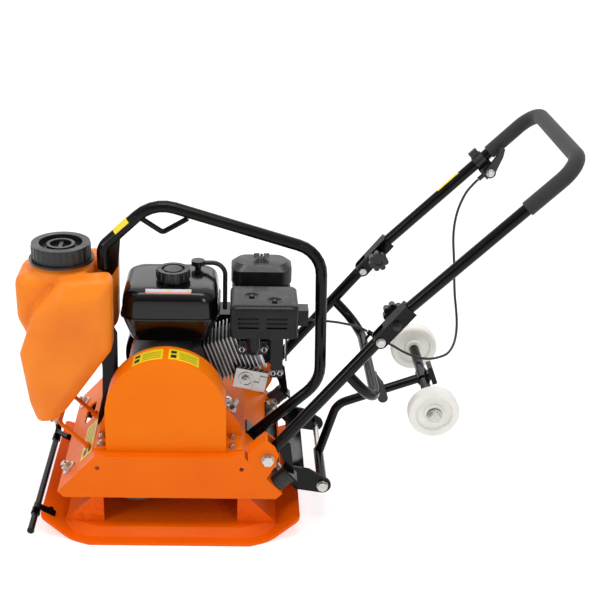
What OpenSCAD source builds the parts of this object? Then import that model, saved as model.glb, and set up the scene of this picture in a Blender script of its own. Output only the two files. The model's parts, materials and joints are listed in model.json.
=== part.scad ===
// Petrol vibrating plate compactor with water tank, folding handle and transport wheels.
// +X points to the handle at the rear, -Y to the belt guard side, +Z up.
// The origin is the middle of the base plate's sole.

/* [Base plate] */
// Overall length of the base plate with its lips
plate_l = 500; // [470:5:540]
// Overall width of the base plate
plate_w = 444; // [430:2:480]
// Thickness of the rim and of the lips
rim_t = 6; // [5:1:8]
// Height of the raised middle of the plate
plateau_z = 20; // [18:1:24]
// Angle of the upturned lips
lip_angle = 30; // [25:1:35]

/* [Deck] */
// Height of the deck's top over the sole
deck_z = 174; // [170:1:180]
// Width of the deck over its two skirts
deck_w = 370; // [366:2:376]
// Thickness of the deck's sheet
sheet_t = 4; // [3:0.5:5]

/* [Exciter and drive] */
// Outer radius of the exciter housing
exciter_r = 50; // [46:1:54]
// Belt radius on the exciter pulley, outside of the belt
exciter_belt_r = 56; // [52:1:58]
// Belt radius on the clutch pulley, outside of the belt
clutch_belt_r = 48; // [44:1:50]
// Width of the drive belt
belt_w = 12; // [10:1:13]

/* [Frame tubes] */
// Diameter of the guard hoop and of the handle tubes
tube_d = 22; // [20:1:24]
// Wall of the tubes
tube_wall = 1.8; // [1.5:0.1:2.5]
// Height of the hoop's front corner
hoop_top = 634; // [620:1:640]

/* [Handle] */
// Distance of each handle tube from the middle of the machine
handle_y = 168; // [166:1:168]
// Diameter of the foam grip
grip_d = 28; // [27:1:32]
// Length of the upper handle's two legs
upper_l = 401; // [390:1:405]

/* [Transport wheels] */
// Diameter of the wheels
wheel_d = 96; // [90:1:100]
// Width of the wheels
wheel_w = 28; // [24:1:30]
// Distance from the middle of one wheel to the middle of the other
wheel_track = 278; // [274:2:284]

/* [Water tank] */
// Diameter of the filler cap
cap_d = 112; // [104:2:114]
// Wall of the moulded tank
tank_wall = 4; // [3:0.5:5]

/* [Engine] */
// Tilt of the cylinder over the horizontal
cylinder_tilt = 20; // [18:1:22]
// Radius of the crankcase round the crankshaft
case_r = 78; // [74:1:80]

/* [Hidden] */
$fn = 48;

gap = 0.3;                 // free space between pieces that move past each other
fit = 0.05;                // radial clearance of a running fit
near = -1;                 // the belt guard side
far = 1;                   // the starter side

deck_top = 141;            // half length of the deck's flat top
slope_run = 73;            // how far each sloped end reaches out
slope_drop = 78;           // how far each sloped end comes down
slope_angle = atan(slope_drop / slope_run);
mount_x = 197;             // where the rubber mounts sit on the sloped ends
mount_y = 130;

exciter = [-66, 0, 112];   // exciter axis, along Y
crank = [-10, 0, 280];     // crankshaft axis, along Y
belt_y = -137;             // middle of the drive belt
belt_t = 8;

hoop_y = -60;              // the plane of the hoop, the lifting eye and the water tank
tank_y = -52;

tilt_pivot = [185, 172];   // handle bracket bolt, X and Z
fold_pivot = [381, 417];   // hinge bolt between the lower and the upper handle
lower_angle = atan2(fold_pivot[1] - tilt_pivot[1], fold_pivot[0] - tilt_pivot[0]);
upper_start = [415.5, 465];
upper_angle = 45;
lock_s = 43;               // from the hinge bolt to the lock bolt
bow_angle = -47.3;         // slope of the bow between the lower handle's tubes
bolt_d = 12;

arm_pivot = [295, 76];     // pivot shaft of the wheel kit
axle_at = [495, 254];      // wheel axle at rest

guard_c = [-7, 254];       // middle of the belt guard's round top
guard_r = 113;
guard_face = -166;
guard_back = -105;

cap_at = [-201, tank_y, 519];
fuel_cap_at = [3, -25, 470];
oil_boss = [98, -68, 210];
oil_boss_h = 18;

// Throttle cable from the lever down to the tie on the handle's bow
cable_upper_route = [
  [598, 156, 614], [588, 155, 603], [577, 154, 588], [568, 153, 567], [562, 152, 545],
  [559, 151, 520], [559, 149, 492], [562, 146, 463], [565, 141, 433], [567, 135, 403],
  [569, 126, 376], [572, 114, 350], [573, 99, 327], [570, 82, 307], [563, 66, 292],
  [551, 53, 281], [535, 46, 276], [516, 45, 272], [497, 52, 270], [479, 65, 270],
  [463, 78, 272], [449, 87, 277], [435, 92, 283], [420, 94, 291], [405, 95, 299]
];
cable_tie = [[405, 95, 299], [391, 98, 307]];
// Throttle cable from the tie to the carburettor
cable_lower_route = [
  [391, 98, 307], [379, 101, 312], [365, 104, 316], [349, 105, 319], [331, 104, 323],
  [312, 100, 327], [293, 95, 331], [273, 90, 335], [253, 85, 340], [235, 79, 345],
  [220, 74, 351], [208, 69, 357]
];
// Water hose from the tank's outlet to the valve on the sprinkler bar
hose_route = [
  [-225, 12, 198], [-225, 12, 187], [-226, 13, 175], [-229, 17, 160], [-234, 25, 145],
  [-240, 36, 131], [-246, 50, 119], [-252, 67, 109], [-257, 85, 102], [-261, 104, 99],
  [-262, 121, 99], [-262, 135, 97], [-262, 145, 92], [-262, 150, 84], [-262, 150, 76.3]
];

// ---------------------------------------------------------------- helpers
function unit(v) = v / norm(v);
function lerp(a, b, t) = a + (b - a) * t;
// A point in the XZ plane at a distance and an angle from another
function polar(p, r, a) = [p[0] + r * cos(a), p[1] + r * sin(a)];
function at_y(p, y) = [p[0], y, p[1]];
// Points of an arc in a plane
function arc(c, r, a0, a1, n) = [for (i = [0:n]) polar(c, r, lerp(a0, a1, i / n))];
// Height of the deck's sloped end over a place beyond its flat top
function slope_z(x) = deck_z - (x - deck_top) * slope_drop / slope_run;

// Children drawn along +Z are turned to point from a to b
module aim(a, b) {
  v = b - a;
  translate(a) rotate([0, acos(v[2] / norm(v)), atan2(v[1], v[0])]) children();
}
// Cylinder along Y from y0 to y1 at a place in the XZ plane
module rod_y(p, y0, y1, d) {
  translate([p[0], y0, p[1]]) rotate([-90, 0, 0]) cylinder(d = d, h = y1 - y0);
}
// Flat outline in XZ, made thick from y0 to y1
module plate_y(y0, y1) {
  translate([0, y1, 0]) rotate([90, 0, 0]) linear_extrude(y1 - y0) children();
}
module box(lo, hi) {
  translate(lo) cube(hi - lo);
}
// Section of a rod, or of a tube where wall is over 0
module section(d, wall) difference() {
  circle(d = d);
  if (wall > 0) circle(d = d - 2 * wall);
}
// One round bend of a rod or tube, at corner b between a and c
module bend_at(a, b, c, d, r, wall) {
  u = unit(a - b);
  v = unit(c - b);
  turn = 180 - acos(u * v);
  middle = b + unit(u + v) * r / cos(turn / 2);
  ex = unit(b + u * r * tan(turn / 2) - middle);
  ez = unit(cross(ex, unit(b + v * r * tan(turn / 2) - middle)));
  ey = cross(ez, ex);
  multmatrix([
    [ex[0], ey[0], ez[0], middle[0]], [ex[1], ey[1], ez[1], middle[1]],
    [ex[2], ey[2], ez[2], middle[2]], [0, 0, 0, 1]
  ]) rotate_extrude(angle = turn) translate([r, 0]) section(d, wall);
}
// Rod or tube along a line of corners, with bends of radius r or of one radius for each corner
module bent_rod(p, d, r, wall = 0) {
  n = len(p);
  function bend_r(i) = is_list(r) ? r[i] : r;
  function cut(i) = (i == 0 || i == n - 1) ? 0
    : bend_r(i) * tan((180 - acos(unit(p[i - 1] - p[i]) * unit(p[i + 1] - p[i]))) / 2);
  for (i = [0:n - 2]) {
    u = unit(p[i + 1] - p[i]);
    aim(p[i] + u * cut(i), p[i + 1] - u * cut(i + 1))
      linear_extrude(norm(p[i + 1] - p[i]) - cut(i) - cut(i + 1)) section(d, wall);
  }
  for (i = [1:n - 2]) bend_at(p[i - 1], p[i], p[i + 1], d, bend_r(i), wall);
}
// Rod or tube in a U: two legs along local X from the start at y = -w and w, tilted up by angle
module u_rod(start, angle, leg, w, d, r, wall = 0) translate(start) rotate([0, -angle, 0])
  bent_rod([[0, -w, 0], [leg, -w, 0], [leg, w, 0], [0, w, 0]], d, r, wall);
// Points along a line of corners in the XZ plane at y, each corner rounded to its radius
function rounded(p, r, y) = [for (i = [0:len(p) - 1])
  if (i == 0 || i == len(p) - 1) at_y(p[i], y)
  else let (
    a = unit(p[i - 1] - p[i]), b = unit(p[i + 1] - p[i]), half = acos(a * b) / 2,
    middle = p[i] + unit(a + b) * r[i] / sin(half), n = ceil((180 - 2 * half) / 12)
  ) for (k = [0:n]) let (t = (k / n - 0.5) * (180 - 2 * half), out = -unit(a + b), side = unit(b - a))
    at_y(middle + r[i] * (cos(t) * out + sin(t) * side), y)];
// Tube swept along points in the XZ plane, as one closed skin
module swept_tube(route, d, wall, sides = 20) {
  n = len(route);
  function tangent(i) = unit(route[min(i + 1, n - 1)] - route[max(i - 1, 0)]);
  function ring(i, radius) = let (q = cross(tangent(i), [0, 1, 0]))
    [for (k = [0:sides - 1]) let (a = 360 * k / sides) route[i] + radius * ([0, cos(a), 0] + q * sin(a))];
  function skin(first) = [for (i = [0:n - 2], k = [0:sides - 1]) let (m = (k + 1) % sides)
    [first + i * sides + m, first + i * sides + k,
      first + (i + 1) * sides + k, first + (i + 1) * sides + m]];
  function end(i) = [for (k = [0:sides - 1]) let (m = (k + 1) % sides, b = n * sides)
    [i * sides + k, i * sides + m, b + i * sides + m, b + i * sides + k]];
  points = [for (radius = [d / 2, d / 2 - wall], i = [0:n - 1]) each ring(i, radius)];
  polyhedron(points, concat(skin(0), reversed_all(skin(n * sides)), end(0), reversed_all(end(n - 1))));
}
function reversed_all(faces) = [for (f = faces) [f[3], f[2], f[1], f[0]]];
// Free cord swept along its route as one closed skin
module cord(route, d, sides = 8) {
  n = len(route);
  function tangent(i) = unit(route[min(i + 1, n - 1)] - route[max(i - 1, 0)]);
  rings = [for (i = [0:n - 1]) let (t = tangent(i), s = unit(cross(t, [0.31, 0.94, 0.12])),
    q = cross(t, s)) for (k = [0:sides - 1])
    route[i] + d / 2 * (s * cos(360 * k / sides) + q * sin(360 * k / sides))];
  skin = [for (i = [0:n - 2]) for (k = [0:sides - 1]) let (m = (k + 1) % sides)
    [i * sides + m, i * sides + k, (i + 1) * sides + k, (i + 1) * sides + m]];
  ends = [[for (k = [0:sides - 1]) k], [for (k = [sides - 1:-1:0]) (n - 1) * sides + k]];
  polyhedron(rings, concat(skin, ends));
}
// Hexagon head or nut standing along +Z
module hex(across, h) {
  cylinder(d = across / cos(30), h = h, $fn = 6);
}
// Bolt end standing on a face: washer, nut and thread
module nut_end(d) {
  cylinder(d = 2.2 * d, h = 0.2 * d);
  translate([0, 0, 0.2 * d]) hex(1.7 * d, 0.8 * d);
  translate([0, 0, d]) cylinder(d = d, h = 0.4 * d);
}
// Rounded slab for hulls: four corner posts
module slab(x0, x1, y0, y1, z, h, r) {
  for (x = [x0 + r, x1 - r], y = [y0 + r, y1 - r]) translate([x, y, z]) cylinder(r = r, h = h);
}
// Puts children, drawn standing on the XY plane, on a sloped end of the deck; side is 1 at the rear
module on_slope(side, x, y) {
  translate([side * x, y, slope_z(x)]) rotate([0, side * slope_angle, 0]) children();
}

// ---------------------------------------------------------------- base and vibration unit
lip_r = 60;
flat_half = plate_l / 2 - 75;
// Side outline of one lip: a bend, then a straight run to the plate's end
function lip_side(r) = concat(
  arc([flat_half, lip_r], r, -90, lip_angle - 90, 6),
  [let (p = polar([flat_half, lip_r], r, lip_angle - 90))
    [plate_l / 2, p[1] + (plate_l / 2 - p[0]) * tan(lip_angle)]]
);
function reversed(p) = [for (i = [len(p) - 1:-1:0]) p[i]];
function flipped(p) = [for (q = p) [-q[0], q[1]]];
lip_tip_z = lip_side(lip_r - rim_t)[7][1];

module plate_plan() {
  chamfer = [88, 34];
  hull() for (sx = [-1, 1], sy = [-1, 1]) {
    translate([sx * (plate_l / 2 - 14), sy * (plate_w / 2 - chamfer[1] - 14)]) circle(14);
    translate([sx * (plate_l / 2 - chamfer[0] - 12), sy * (plate_w / 2 - 20)]) circle(20);
  }
}
module plateau_plan(inset) {
  l = 214 - inset;
  w = 202 - inset;
  polygon([[l - 60, -w], [l, 26 - w], [l, w - 26], [l - 60, w],
    [60 - l, w], [-l, w - 26], [-l, 26 - w], [60 - l, -w]]);
}
seat_foot = [203, plateau_z];
// Sloped seat with gussets that carries two rubber mounts
module mount_seat() {
  head = seat_foot + [-slope_run, slope_drop] * 0.96;
  plate_y(-168, 168) polygon([seat_foot, head, head - [8, 0], seat_foot - [8, 0]]);
  for (y = [-168, -84, 79, 163])
    plate_y(y, y + 5) polygon([seat_foot - [4, 0], head - [4, 0], [head[0] - 4, plateau_z]]);
}
module base_plate() color("orangered") {
  bottom = lip_side(lip_r);
  top = lip_side(lip_r - rim_t);
  intersection() {
    plate_y(-plate_w, plate_w)
      polygon(concat(bottom, reversed(top), flipped(top), reversed(flipped(bottom))));
    linear_extrude(80) plate_plan();
  }
  hull() {
    translate([0, 0, rim_t - 1]) linear_extrude(1) plateau_plan(0);
    translate([0, 0, plateau_z - 1]) linear_extrude(1) plateau_plan(plateau_z - rim_t);
  }
  mount_seat();
  mirror([1, 0, 0]) mount_seat();
}

// From the deck's outer face to the seat's face, square to the slope
mount_reach = ([deck_top, deck_z] - seat_foot) * [sin(slope_angle), cos(slope_angle)];
module rubber_mounts() color("#222222")
  for (side = [-1, 1], y = [-mount_y, mount_y]) on_slope(side, mount_x, y)
    translate([0, 0, -mount_reach]) difference() {
      cylinder(r = 24, h = mount_reach - sheet_t);
      translate([0, 0, 28]) rotate_extrude() translate([33, 0]) circle(14);
      translate([0, 0, -1]) cylinder(d = bolt_d, h = mount_reach);
    }
module mount_bolts() color("silver")
  for (side = [-1, 1], y = [-mount_y, mount_y]) on_slope(side, mount_x, y) {
    translate([0, 0, 4 - mount_reach]) cylinder(d = bolt_d, h = mount_reach + 14);
    cylinder(d = 30, h = 2.5);
    translate([0, 0, 2.5]) hex(19, 9);
  }

slot = [[-110, 18], [-150, -124]];   // where the belt passes through the deck
module deck() color("darkorange") {
  thin = sheet_t / sin(slope_angle);
  inner = deck_top - sheet_t * tan(slope_angle / 2);
  end = deck_top + slope_run;
  low = deck_z - slope_drop;
  half = [[deck_top, deck_z], [end, low], [end - thin, low], [inner, deck_z - sheet_t]];
  difference() {
    union() {
      plate_y(-deck_w / 2, deck_w / 2) polygon(concat(half, reversed(flipped(half))));
      for (y = [-deck_w / 2, deck_w / 2 - sheet_t]) plate_y(y, y + sheet_t) polygon([
        [deck_top, deck_z], [end, low], [end - 12, low - 12],
        [12 - end, low - 12], [-end, low], [-deck_top, deck_z]
      ]);
    }
    box([slot[0][0], slot[1][0], deck_z - 20], [slot[0][1], slot[1][1], deck_z + 1]);
    for (x = [-136, 136]) rod_y([x, 149], -deck_w, deck_w, 9);
    for (side = [-1, 1], y = [-mount_y, mount_y]) on_slope(side, mount_x, y)
      translate([0, 0, -9]) cylinder(d = bolt_d, h = 12);
    for (y = tank_rod_y) at_rod(y) cylinder(d = 9, h = 40);
    on_slope(-1, 176, 50) for (y = [-22, 22]) translate([0, y, -9]) cylinder(d = 30, h = 12);
    on_slope(-1, 176, 50) box([-15, -22, -9], [15, 22, 3]);
  }
}

housing_y = 85;
shaft_r = 15;
module exciter_housing() color("#b33a10") difference() {
  union() {
    rod_y([exciter[0], exciter[2]], -housing_y, housing_y, 2 * exciter_r);
    box([exciter[0] - 40, -housing_y, plateau_z], [exciter[0] + 40, housing_y, exciter[2]]);
    box([exciter[0] - 62, -housing_y, plateau_z], [exciter[0] + 62, housing_y, plateau_z + 14]);
  }
  rod_y([exciter[0], exciter[2]], -housing_y - 1, housing_y + 1, 72);
}
module exciter_bearings() color("gray") for (s = [near, far])
  translate([exciter[0], s * housing_y, exciter[2]]) rotate([s * -90, 0, 0]) difference() {
    union() {
      translate([0, 0, -18]) cylinder(r = 36, h = 18);
      cylinder(r = 46, h = 8);
      for (a = [0:60:300]) rotate(a) translate([41, 0, 8]) hex(8, 4);
    }
    translate([0, 0, -19]) cylinder(r = shaft_r + fit, h = 30);
  }
module exciter_shaft() color("silver") {
  rod_y([exciter[0], exciter[2]], belt_y - 10, housing_y + 6, 2 * shaft_r);
  translate([exciter[0], 60, exciter[2]]) rotate([90, 0, 0])
    linear_extrude(120) intersection() {
      circle(31);
      translate([-40, -80]) square([80, 80]);
    }
}
// Grooved pulley along Y; r is the belt's outer radius
module pulley(r, bore_r) rotate([90, 0, 0]) rotate_extrude() polygon([
  [bore_r, -10], [r + 2, -10], [r + 2, -belt_w / 2 - 0.6], [r - belt_t - 0.5, -belt_w / 2 - 0.6],
  [r - belt_t - 0.5, belt_w / 2 + 0.6], [r + 2, belt_w / 2 + 0.6], [r + 2, 10], [bore_r, 10]
]);
module exciter_pulley() color("#2a2a2a") difference() {
  translate([exciter[0], belt_y, exciter[2]]) pulley(exciter_belt_r, shaft_r);
  for (a = [0:60:300]) rod_y(polar([exciter[0], exciter[2]], 32, a), belt_y - 12, belt_y + 12, 16);
}
module v_belt() color("black") plate_y(belt_y - belt_w / 2, belt_y + belt_w / 2) difference() {
  hull() {
    translate([exciter[0], exciter[2]]) circle(exciter_belt_r);
    translate([crank[0], crank[2]]) circle(clutch_belt_r);
  }
  hull() {
    translate([exciter[0], exciter[2]]) circle(exciter_belt_r - belt_t);
    translate([crank[0], crank[2]]) circle(clutch_belt_r - belt_t);
  }
}

// ---------------------------------------------------------------- guard, frame and fasteners
module belt_guard() color("darkorange") {
  difference() {
    union() {
      rod_y(guard_c, guard_face, guard_back, 2 * guard_r);
      box([guard_c[0] - guard_r, guard_face, deck_z], [guard_c[0] + guard_r, guard_back, guard_c[1]]);
    }
    rod_y(guard_c, guard_face + 3, guard_back + 1, 2 * (guard_r - 3));
    box([guard_c[0] - guard_r + 3, guard_face + 3, deck_z - 1],
      [guard_c[0] + guard_r - 3, guard_back + 1, guard_c[1]]);
    box([guard_c[0] - guard_r - 1, guard_face - 1, 100],
      [guard_c[0] + guard_r + 1, guard_back + 1, deck_z]);
  }
  for (s = [[-1, 21], [1, 31]]) {
    foot = guard_c[0] + s[0] * guard_r;
    tip = foot + s[0] * s[1];
    box([min(foot, tip), -158, deck_z], [max(foot, tip), guard_back, deck_z + 3]);
    plate_y(guard_back - 3, guard_back) polygon([
      [foot - s[0] * 3, deck_z], [tip, deck_z],
      [tip - s[0] * 5, deck_z + 27], [foot - s[0] * 3, deck_z + 70]
    ]);
  }
}
engine_bolts = [[-73, -66], [108, -66], [-73, 8], [108, 8]];
module frame_bolts() color("silver") {
  for (p = [[-132, -116], [-132, -146], [118, -116], [118, -150]])
    translate([p[0], p[1], deck_z + 3]) nut_end(7);
  for (p = engine_bolts) translate([p[0], p[1], deck_z + 14]) nut_end(8);
  for (x = [-52, 52], y = [-74, 74]) translate([exciter[0] + x, y, plateau_z + 14]) nut_end(8);
  for (s = [near, far]) {
    y0 = s * (deck_w / 2);
    rod_y(tilt_pivot, min(y0, y0 - s * 34), max(y0, y0 - s * 34), bolt_d);
    translate(at_y(tilt_pivot, y0)) rotate([s * -90, 0, 0]) {
      cylinder(d = 24, h = 2.5);
      translate([0, 0, 2.5]) hex(19, 7.5);
    }
    translate(at_y(tilt_pivot, y0 - s * 34)) rotate([s * 90, 0, 0]) hex(19, 10);
  }
}
// Folded channel on each rear corner of the deck that the handle turns in
module handle_brackets() color("darkorange") for (s = [near, far]) {
  outer = deck_w / 2;
  cheek = [[148, slope_z(148)], [147, 183], [181, 213], [198, 198], [205, 181], [200, 160],
    [183, slope_z(183)]];
  difference() {
    union() {
      for (y = [outer - 4, outer - 34])
        plate_y(min(s * y, s * (y + 4)), max(s * y, s * (y + 4))) polygon(cheek);
      plate_y(min(s * (outer - 34), s * outer), max(s * (outer - 34), s * outer))
        polygon([[147, 183], [181, 213], [184, 210], [150, 180]]);
    }
    rod_y(tilt_pivot, -deck_w, deck_w, bolt_d);
  }
}
buffer_h = 34;
buffer_y = 165;
module rubber_buffers() color("#1c1c1c") for (y = [-buffer_y, buffer_y]) on_slope(1, 203, y) {
  cylinder(r = 16, h = buffer_h);
  translate([0, 0, 6]) cylinder(r = 17, h = 3);
  translate([0, 0, buffer_h - 9]) cylinder(r = 17, h = 3);
}
hoop_corners = [[-124, 505], [-124, 546], [-29, hoop_top], [278, 541], [286, 273], [161, 157.6]];
hoop_bends = [0, 26, 70, 62, 75, 0];
post_y = [-50, -43];
module roll_hoop() color("#161616") {
  swept_tube(rounded(hoop_corners, hoop_bends, hoop_y), tube_d, tube_wall);
  on_slope(1, 159, hoop_y) box([-23, -23, 0], [23, 23, 4]);
  cord(rounded([[-50, 601], [-13, 576], [33, 603]], [0, 9, 0], hoop_y), 10, 12);
  plate_y(post_y[0], post_y[1]) polygon([
    [-116, 558], [-92, 558], [-97, 505], [-114, 478], [-114, 385], [-104, 365], [-105, 290],
    [-113, 230], [-130, 184], [-130, deck_z], [-deck_top, deck_z], [-150, slope_z(150)],
    [-146, 190], [-137, 230], [-135, 290], [-138, 380], [-138, 478], [-120, 505]
  ]);
}
tank_rod_y = [-114, 12];
tank_rod_foot = [-147.8, 142];
tank_rod_angle = 136;      // its legs stand square on the deck's sloped front
// Children drawn along +Z follow a leg of the tank's rod
module at_rod(y) translate(at_y(tank_rod_foot, y)) rotate([0, 90 - tank_rod_angle, 0]) children();
module tank_rod() color("orangered") {
  u_rod(at_y(tank_rod_foot, (tank_rod_y[0] + tank_rod_y[1]) / 2), tank_rod_angle, 91,
    (tank_rod_y[1] - tank_rod_y[0]) / 2, 8, 12);
  for (y = tank_rod_y, h = [6, 17]) at_rod(y) translate([0, 0, h]) hex(13, 6.5);
}

// ---------------------------------------------------------------- water system
lobe = [[-185, 490], [-120, 498], [-121, 376], [-206, 250], [-230, 230], [-240, 258],
  [-258, 360], [-232, 430]];
body_pts = [[-262, 480], [-262, 420], [-252, 395], [-172, 480], [-172, 400]];
module puffed(points, ys, r) hull()
  for (p = points, y = ys) translate([p[0], y, p[1]]) sphere(r = r, $fn = 20);
module tank_form(shrink) {
  for (s = [-1, 1]) puffed(lobe, [tank_y + s * 44, tank_y + s * 82], 20 - shrink);
  puffed(body_pts, [tank_y - 32, tank_y + 32], 22 - shrink);
}
neck_r = 47;
module water_tank() color("#f08a2e") difference() {
  union() {
    tank_form(0);
    translate([cap_at[0], cap_at[1], 470]) cylinder(r = neck_r + 4, h = 46);
    translate([cap_at[0], cap_at[1], 470]) cylinder(r = neck_r, h = 66);
    translate([-225, 12, 198]) cylinder(r = 5, h = 34);
  }
  tank_form(tank_wall);
  translate([cap_at[0], cap_at[1], 460]) cylinder(r = neck_r - 4, h = 100);
  translate([-225, 12, 190]) cylinder(r = 2.5, h = 40);
}
module water_cap() color("#1a1a1a") translate(cap_at) difference() {
  union() {
    cylinder(d = cap_d - 4, h = 33);
    cylinder(d = cap_d + 8, h = 4);
    for (a = [0:12:348]) rotate(a) translate([cap_d / 2 - 3.4, 0, 3]) cylinder(r = 2.4, h = 27, $fn = 16);
  }
  translate([0, 0, -1]) cylinder(r = neck_r + gap, h = 19.5);
  // Dish in the top, with a ring and a grip bar standing in it
  translate([0, 0, 22.5]) difference() {
    cylinder(r = 40, h = 12);
    difference() {
      cylinder(r = 26, h = 8);
      translate([0, 0, -1]) cylinder(r = 20, h = 12);
    }
    translate([-3.5, -21, -1]) cube([7, 42, 6]);
  }
}
bar_at = [-262, 34];
bar_end = 150;
module sprinkler_bar() color("#1a1a1a") {
  difference() {
    bent_rod([[bar_at[0], -222, bar_at[1]], [bar_at[0], bar_end, bar_at[1]],
      [bar_at[0], bar_end, 54]], 13, 10, 1.5);
    for (y = [-205:30:125]) translate([bar_at[0], y, bar_at[1] - 9]) cylinder(d = 3, h = 6);
  }
  translate([bar_at[0], -225, bar_at[1]]) rotate([-90, 0, 0]) cylinder(d = 14, h = 3);
  for (y = [-160, 120]) {
    difference() {
      union() {
        rod_y(bar_at, y - 8, y + 8, 18);
        box([bar_at[0] - 3, y - 8, bar_at[1] + 6], [bar_at[0] + 3, y + 8, lip_tip_z + 9]);
      }
      rod_y(bar_at, y - 9, y + 9, 13);
    }
    translate([-plate_l / 2, y, lip_tip_z]) rotate([0, lip_angle, 0]) {
      box([-13, -8, 0], [28, 8, 3]);
      translate([16, 0, 3]) nut_end(6);
    }
  }
}
module water_valve() color("goldenrod") {
  translate([bar_at[0], bar_end, 54]) hex(16, 12);
  translate([bar_at[0], bar_end, 66]) cylinder(d = 8, h = 4);
  translate([bar_at[0], bar_end, 70]) cylinder(d = 10, h = 3);
  translate([bar_at[0], bar_end, 73]) cylinder(d = 8, h = 3);
  aim([bar_at[0] - 8, bar_end, 60], [bar_at[0] - 12, bar_end, 60]) cylinder(d = 7, h = 4);
}
module valve_lever() color("goldenrod") translate([bar_at[0] - 12 - gap, bar_end, 60]) {
  rotate([0, -90, 0]) cylinder(d = 10, h = 3);
  box([-3, -4, 0], [0, 4, 26]);
}
module water_hose() color("orangered") cord(hose_route, 9, 10);

// ---------------------------------------------------------------- engine
// Children drawn with the bore along +X, from the crankshaft outwards
module along_bore() translate(crank) rotate([0, -cylinder_tilt, 0]) children();
oil_axis = [0.75, -0.2, 0.63];
module crankcase() color("#8f9296") difference() {
  union() {
    rod_y([crank[0], crank[2]], -88, 36, 2 * case_r);
    box([-84, -80, deck_z], [118, 22, deck_z + 14]);
    box([-62, -84, deck_z + 14], [98, 30, 262]);
    along_bore() box([40, -66, -42], [86, 14, 42]);
    rod_y([crank[0], crank[2]], -93, -88, 132);
    for (a = [20:45:335]) translate([crank[0] + 58 * cos(a), -93, crank[2] + 58 * sin(a)])
      rotate([90, 0, 0]) hex(9, 5);
    aim(oil_boss, oil_boss + oil_axis) cylinder(r = 13, h = oil_boss_h);
  }
  rod_y([crank[0], crank[2]], -100, 50, 25 + 2 * fit);
}
module cylinder_block() color("#9b9da0") along_bore() {
  box([86, -62, -36], [184, 10, 36]);
  for (x = [91:7.6:180]) box([x, -70, -44], [x + 2.6, 18, 44]);
  box([184, -68, -42], [190, 16, 42]);
}
module rocker_cover() color("#2b2b2e") along_bore() {
  hull() {
    box([190, -62, -36], [192, 10, 36]);
    box([206, -56, -30], [214, 4, 30]);
  }
  for (y = [-48, -4], z = [-22, 22]) translate([214, y, z]) rotate([0, 90, 0]) hex(9, 5);
}
// Pressed steel shield under the cylinder, held by one bolt inside an embossed ring
module cylinder_shield() color("silver") translate([151, -84, 287]) rotate([0, 11, 0]) {
  difference() {
    box([-31, 0, -20], [31, 14, 20]);
    box([-28.5, 2.5, -22], [28.5, 15, 17.5]);
  }
  box([6, -2.5, -20], [31, 1, -2]);
  box([17, -2.5, -3], [31, 1, 12]);
  translate([-9, 1, 0]) rotate([90, 0, 0]) {
    difference() {
      cylinder(r = 15, h = 3);
      translate([0, 0, 1]) cylinder(r = 12, h = 3);
    }
    nut_end(8);
  }
}
module muffler() color("#2c2c30") {
  hull() {
    slab(118, 230, -112, -20, 402, 42, 14);
    slab(124, 224, -106, -26, 398, 50, 10);
  }
  difference() {
    box([226, -84, 402], [257, -52, 433]);
    box([232, -81, 405], [258, -55, 430]);
  }
  difference() {
    box([128, -76, 337], [182, -70, 365]);
    rod_y([155, 351], -80, -60, 20);
  }
  bent_rod([[155, -76, 351], [155, -92, 351], [155, -92, 398]], 25, 15.5);
  for (x = [134, 176]) translate([x, -76, 351]) rotate([90, 0, 0]) nut_end(7);
  box([188, -98, 300], [211, -95, 402]);
  box([188, -98, 399], [211, -60, 402]);
  for (x = [193, 206]) translate([x, -98, 312]) rotate([90, 0, 0]) nut_end(6);
}
module muffler_shield() color("#313136") difference() {
  slab_hull([111, 237], [-121, -12], [392, 455], 12);
  slab_hull([113.5, 234.5], [-118.5, -9], [380, 452.5], 10);
  for (row = [0:2], x = [126, 178]) box([x, -130, 412 + 9 * row], [x + 38, -110, 415.5 + 9 * row]);
  box([230, -86, 390], [240, -50, 435]);
  box([120, -60, 380], [228, 0, 396]);
  for (p = [[148, -84], [196, -96]]) translate([p[0], p[1], 440]) cylinder(d = 7, h = 30);
}
module slab_hull(x, y, z, r) hull() {
  slab(x[0], x[1], y[0], y[1], z[0], z[1] - z[0] - r / 2, r);
  slab(x[0] + r / 2, x[1] - r / 2, y[0] + r / 2, y[1] - r / 2, z[0], z[1] - z[0], r);
}
module air_filter_base() color("#26262a") {
  slab_hull([114, 228], [30, 104], [402, 436], 16);
  box([142, 52, 372], [178, 82, 402]);
  box([222, 30, 270], [225, 70, 402]);
}
module air_filter_cover() color("#2f2f33") {
  slab_hull([112, 230], [28, 106], [436, 474], 22);
  translate([171, 67, 474]) cylinder(d = 5, h = 12);
  translate([171, 67, 474]) cylinder(d = 22, h = 1.5);
}
module wing_nut() color("silver") translate([171, 67, 475.5 + gap]) difference() {
  union() {
    cylinder(d = 11, h = 7);
    for (s = [-1, 1]) rotate([0, 0, s * 90 - 90]) translate([4, -1.2, 1]) cube([11, 2.4, 11]);
  }
  translate([0, 0, -1]) cylinder(d = 5 + 2 * fit, h = 20);
}
module carburettor() color("#a8a8a4") {
  rod_y([160, 352], 18.5, 66, 32);
  translate([160, 42, 306]) cylinder(r = 17, h = 32);
  box([146, 28, 336], [174, 56, 372]);
  box([136, 72, 318], [198, 75, 372]);
  box([194, 58, 352], [198, 75, 372]);
  aim([208, 69, 357], [196, 65, 365]) translate([0, 0, gap]) cylinder(d = 7, h = 16);
  box([150, 66, 344], [170, 72, 360]);
  for (p = [[152, 360], [176, 332]]) rod_y(p, 75, 80, 6);
}
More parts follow.
